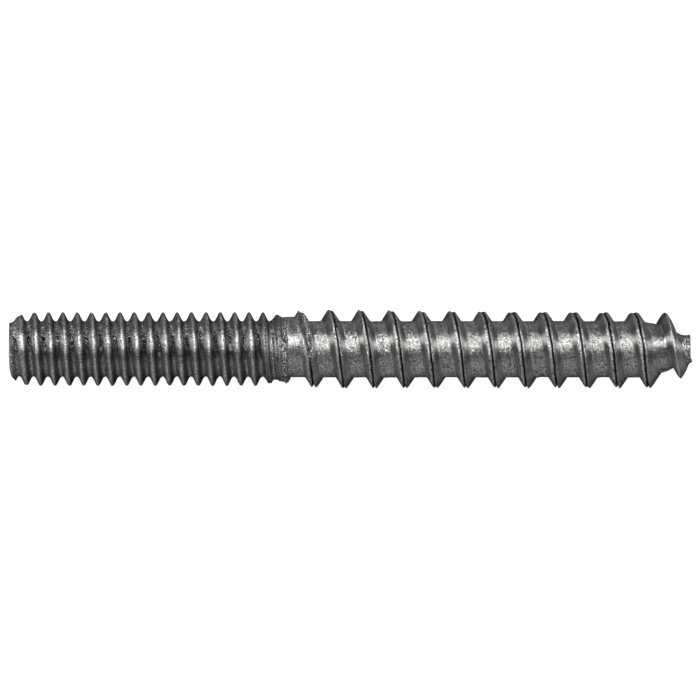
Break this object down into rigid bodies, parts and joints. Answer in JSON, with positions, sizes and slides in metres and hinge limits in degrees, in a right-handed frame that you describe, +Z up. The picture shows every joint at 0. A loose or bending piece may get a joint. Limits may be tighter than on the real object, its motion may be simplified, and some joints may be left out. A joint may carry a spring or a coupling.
{
  "type": "hanger bolt",
  "caption": "Headless steel bolt with a machine thread on one end and a coarse wood-screw thread on the other, for hanging a fixture from timber.",
  "frame": {"origin": "centre of the bounding box in X and Y, at the lowest crest of the lag thread, which is the surface the bolt lies on", "axes": "+X along the bolt from the sheared machine end to the broken lag tip, +Z up"},
  "size_m": [0.038, 0.0044, 0.0044],
  "materials": {
    "steel": "plain dark steel as rolled, pitted, with bright worn crests"
  },
  "bodies": {
    "root": {"hanger_bolt": "steel"}
  },
  "joints": []
}
